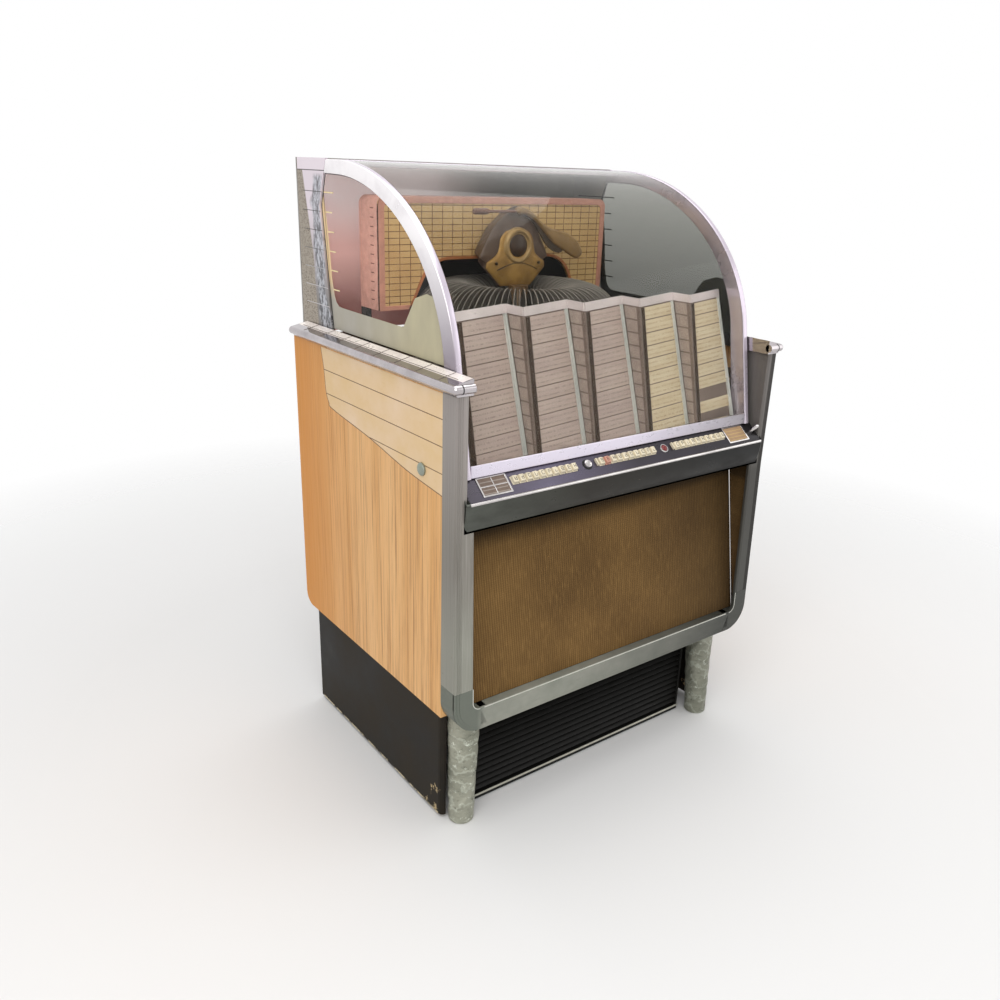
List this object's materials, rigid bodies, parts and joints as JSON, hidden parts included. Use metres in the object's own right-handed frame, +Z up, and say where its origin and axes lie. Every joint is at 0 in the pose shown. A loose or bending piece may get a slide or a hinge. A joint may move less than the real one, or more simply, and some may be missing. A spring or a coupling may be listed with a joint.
{
  "type": "jukebox",
  "caption": "Floor-standing selector jukebox with a lifting curved glass dome, key selector panel, record carousel, pleated title rack, cloth grille and splayed front legs.",
  "frame": {"origin": "on the floor, under the middle of the bounding box", "axes": "+Z up, the front with the selector keys faces -Y, +X is the viewer's right seen from the front"},
  "size_m": [0.875, 0.69, 1.3],
  "materials": {
    "cream_board": "printed cream panel",
    "rack_metal": "pleated painted sheet",
    "gold_casting": "gold bronze painted casting",
    "black_paint": "satin black paint",
    "black_board": "satin black paint on board",
    "carousel_grey": "grey pressed sheet",
    "black_vinyl": "pressed vinyl",
    "chrome": "polished, lightly worn",
    "clear_glass": "clear sheet with a screened border",
    "fluted_alloy": "brushed, scored lines",
    "red_lens": "dark red moulding",
    "plain_board": "stained board",
    "honey_wood": "varnished honey veneer",
    "painted_casting": "worn silver green paint",
    "grille_cloth": "woven cloth on a thin board",
    "ivory_key": "ivory moulding"
  },
  "bodies": {
    "cabinet": {"cabinet_frame": "plain_board", "side_panel_left": "honey_wood", "side_panel_right": "honey_wood", "kick_panel": "black_board", "leg_frame": "painted_casting", "pillar_left": "fluted_alloy", "pillar_right": "fluted_alloy", "grille_frame": "painted_casting", "grille_panel": "grille_cloth", "louver_grille": "black_paint", "speaker": "black_paint", "selector_housing": "chrome", "indicator_lens": "red_lens", "belt_trim_left": "chrome", "belt_trim_right": "chrome", "rear_hood": "fluted_alloy", "title_rack": "rack_metal", "backboard": "cream_board", "mechanism_housing": "gold_casting"},
    "dome": {"dome_frame": "chrome", "dome_glass": "clear_glass", "side_glass_left": "clear_glass", "side_glass_right": "clear_glass"},
    "carousel": {"record_carousel": "carousel_grey", "records": "black_vinyl"},
    "turntable": {"turntable": "black_paint"},
    "tone_arm": {"tone_arm": "gold_casting"},
    "rear_door": {"rear_door": "plain_board"},
    "side_lock": {"side_lock": "chrome"},
    "select_button": {"select_button": "chrome"},
    "key_a0": {"key_a0": "ivory_key"},
    "key_a1": {"key_a1": "ivory_key"},
    "key_a2": {"key_a2": "ivory_key"},
    "key_a3": {"key_a3": "ivory_key"},
    "key_a4": {"key_a4": "ivory_key"},
    "key_a5": {"key_a5": "ivory_key"},
    "key_a6": {"key_a6": "ivory_key"},
    "key_a7": {"key_a7": "ivory_key"},
    "key_a8": {"key_a8": "ivory_key"},
    "key_a9": {"key_a9": "ivory_key"},
    "key_b0": {"key_b0": "ivory_key"},
    "key_b1": {"key_b1": "ivory_key"},
    "key_b2": {"key_b2": "ivory_key"},
    "key_b3": {"key_b3": "ivory_key"},
    "key_b4": {"key_b4": "ivory_key"},
    "key_b5": {"key_b5": "ivory_key"},
    "key_b6": {"key_b6": "ivory_key"},
    "key_b7": {"key_b7": "ivory_key"},
    "key_b8": {"key_b8": "ivory_key"},
    "key_b9": {"key_b9": "ivory_key"},
    "key_c0": {"key_c0": "ivory_key"},
    "key_c1": {"key_c1": "ivory_key"},
    "key_c2": {"key_c2": "ivory_key"},
    "key_c3": {"key_c3": "ivory_key"},
    "key_c4": {"key_c4": "ivory_key"},
    "key_c5": {"key_c5": "ivory_key"},
    "key_c6": {"key_c6": "ivory_key"},
    "key_c7": {"key_c7": "ivory_key"},
    "key_c8": {"key_c8": "ivory_key"},
    "key_c9": {"key_c9": "ivory_key"}
  },
  "joints": [
    {"name": "dome_lift", "type": "hinge", "parent": "cabinet", "child": "dome", "pos_m": [0, 0.2045, 1.3], "axis": [-1, 0, 0], "range_deg": [0, 60]},
    {"name": "carousel_turn", "type": "hinge", "parent": "cabinet", "child": "carousel", "pos_m": [0, 0.065, 0.88], "axis": [0, 0, 1], "continuous": true},
    {"name": "turntable_turn", "type": "hinge", "parent": "cabinet", "child": "turntable", "pos_m": [0, 0.075, 1.135], "axis": [0, -1, 0], "continuous": true},
    {"name": "tone_arm_swing", "type": "hinge", "parent": "cabinet", "child": "tone_arm", "pos_m": [0, 0.0747, 1.2065], "axis": [0, 1, 0], "range_deg": [-10, 8]},
    {"name": "rear_door_swing", "type": "hinge", "parent": "cabinet", "child": "rear_door", "pos_m": [0.3594, 0.3223, 0.58165], "axis": [0, 0, -1], "range_deg": [0, 110]},
    {"name": "side_lock_turn", "type": "hinge", "parent": "cabinet", "child": "side_lock", "pos_m": [-0.426, -0.224, 0.774], "axis": [1, 0, 0], "range_deg": [0, 90]},
    {"name": "select_button_press", "type": "slide", "parent": "cabinet", "child": "select_button", "axis": [0, 0.6424, -0.7664], "range_m": [0, 0.003], "stiffness_N_per_m": 400},
    {"name": "key_a0_press", "type": "slide", "parent": "cabinet", "child": "key_a0", "axis": [0, 0.6424, -0.7664], "range_m": [0, 0.004], "stiffness_N_per_m": 400},
    {"name": "key_a1_press", "type": "slide", "parent": "cabinet", "child": "key_a1", "axis": [0, 0.6424, -0.7664], "range_m": [0, 0.004], "stiffness_N_per_m": 400},
    {"name": "key_a2_press", "type": "slide", "parent": "cabinet", "child": "key_a2", "axis": [0, 0.6424, -0.7664], "range_m": [0, 0.004], "stiffness_N_per_m": 400},
    {"name": "key_a3_press", "type": "slide", "parent": "cabinet", "child": "key_a3", "axis": [0, 0.6424, -0.7664], "range_m": [0, 0.004], "stiffness_N_per_m": 400},
    {"name": "key_a4_press", "type": "slide", "parent": "cabinet", "child": "key_a4", "axis": [0, 0.6424, -0.7664], "range_m": [0, 0.004], "stiffness_N_per_m": 400},
    {"name": "key_a5_press", "type": "slide", "parent": "cabinet", "child": "key_a5", "axis": [0, 0.6424, -0.7664], "range_m": [0, 0.004], "stiffness_N_per_m": 400},
    {"name": "key_a6_press", "type": "slide", "parent": "cabinet", "child": "key_a6", "axis": [0, 0.6424, -0.7664], "range_m": [0, 0.004], "stiffness_N_per_m": 400},
    {"name": "key_a7_press", "type": "slide", "parent": "cabinet", "child": "key_a7", "axis": [0, 0.6424, -0.7664], "range_m": [0, 0.004], "stiffness_N_per_m": 400},
    {"name": "key_a8_press", "type": "slide", "parent": "cabinet", "child": "key_a8", "axis": [0, 0.6424, -0.7664], "range_m": [0, 0.004], "stiffness_N_per_m": 400},
    {"name": "key_a9_press", "type": "slide", "parent": "cabinet", "child": "key_a9", "axis": [0, 0.6424, -0.7664], "range_m": [0, 0.004], "stiffness_N_per_m": 400},
    {"name": "key_b0_press", "type": "slide", "parent": "cabinet", "child": "key_b0", "axis": [0, 0.6424, -0.7664], "range_m": [0, 0.004], "stiffness_N_per_m": 400},
    {"name": "key_b1_press", "type": "slide", "parent": "cabinet", "child": "key_b1", "axis": [0, 0.6424, -0.7664], "range_m": [0, 0.004], "stiffness_N_per_m": 400},
    {"name": "key_b2_press", "type": "slide", "parent": "cabinet", "child": "key_b2", "axis": [0, 0.6424, -0.7664], "range_m": [0, 0.004], "stiffness_N_per_m": 400},
    {"name": "key_b3_press", "type": "slide", "parent": "cabinet", "child": "key_b3", "axis": [0, 0.6424, -0.7664], "range_m": [0, 0.004], "stiffness_N_per_m": 400},
    {"name": "key_b4_press", "type": "slide", "parent": "cabinet", "child": "key_b4", "axis": [0, 0.6424, -0.7664], "range_m": [0, 0.004], "stiffness_N_per_m": 400},
    {"name": "key_b5_press", "type": "slide", "parent": "cabinet", "child": "key_b5", "axis": [0, 0.6424, -0.7664], "range_m": [0, 0.004], "stiffness_N_per_m": 400},
    {"name": "key_b6_press", "type": "slide", "parent": "cabinet", "child": "key_b6", "axis": [0, 0.6424, -0.7664], "range_m": [0, 0.004], "stiffness_N_per_m": 400},
    {"name": "key_b7_press", "type": "slide", "parent": "cabinet", "child": "key_b7", "axis": [0, 0.6424, -0.7664], "range_m": [0, 0.004], "stiffness_N_per_m": 400},
    {"name": "key_b8_press", "type": "slide", "parent": "cabinet", "child": "key_b8", "axis": [0, 0.6424, -0.7664], "range_m": [0, 0.004], "stiffness_N_per_m": 400},
    {"name": "key_b9_press", "type": "slide", "parent": "cabinet", "child": "key_b9", "axis": [0, 0.6424, -0.7664], "range_m": [0, 0.004], "stiffness_N_per_m": 400},
    {"name": "key_c0_press", "type": "slide", "parent": "cabinet", "child": "key_c0", "axis": [0, 0.6424, -0.7664], "range_m": [0, 0.004], "stiffness_N_per_m": 400},
    {"name": "key_c1_press", "type": "slide", "parent": "cabinet", "child": "key_c1", "axis": [0, 0.6424, -0.7664], "range_m": [0, 0.004], "stiffness_N_per_m": 400},
    {"name": "key_c2_press", "type": "slide", "parent": "cabinet", "child": "key_c2", "axis": [0, 0.6424, -0.7664], "range_m": [0, 0.004], "stiffness_N_per_m": 400},
    {"name": "key_c3_press", "type": "slide", "parent": "cabinet", "child": "key_c3", "axis": [0, 0.6424, -0.7664], "range_m": [0, 0.004], "stiffness_N_per_m": 400},
    {"name": "key_c4_press", "type": "slide", "parent": "cabinet", "child": "key_c4", "axis": [0, 0.6424, -0.7664], "range_m": [0, 0.004], "stiffness_N_per_m": 400},
    {"name": "key_c5_press", "type": "slide", "parent": "cabinet", "child": "key_c5", "axis": [0, 0.6424, -0.7664], "range_m": [0, 0.004], "stiffness_N_per_m": 400},
    {"name": "key_c6_press", "type": "slide", "parent": "cabinet", "child": "key_c6", "axis": [0, 0.6424, -0.7664], "range_m": [0, 0.004], "stiffness_N_per_m": 400},
    {"name": "key_c7_press", "type": "slide", "parent": "cabinet", "child": "key_c7", "axis": [0, 0.6424, -0.7664], "range_m": [0, 0.004], "stiffness_N_per_m": 400},
    {"name": "key_c8_press", "type": "slide", "parent": "cabinet", "child": "key_c8", "axis": [0, 0.6424, -0.7664], "range_m": [0, 0.004], "stiffness_N_per_m": 400},
    {"name": "key_c9_press", "type": "slide", "parent": "cabinet", "child": "key_c9", "axis": [0, 0.6424, -0.7664], "range_m": [0, 0.004], "stiffness_N_per_m": 400}
  ]
}
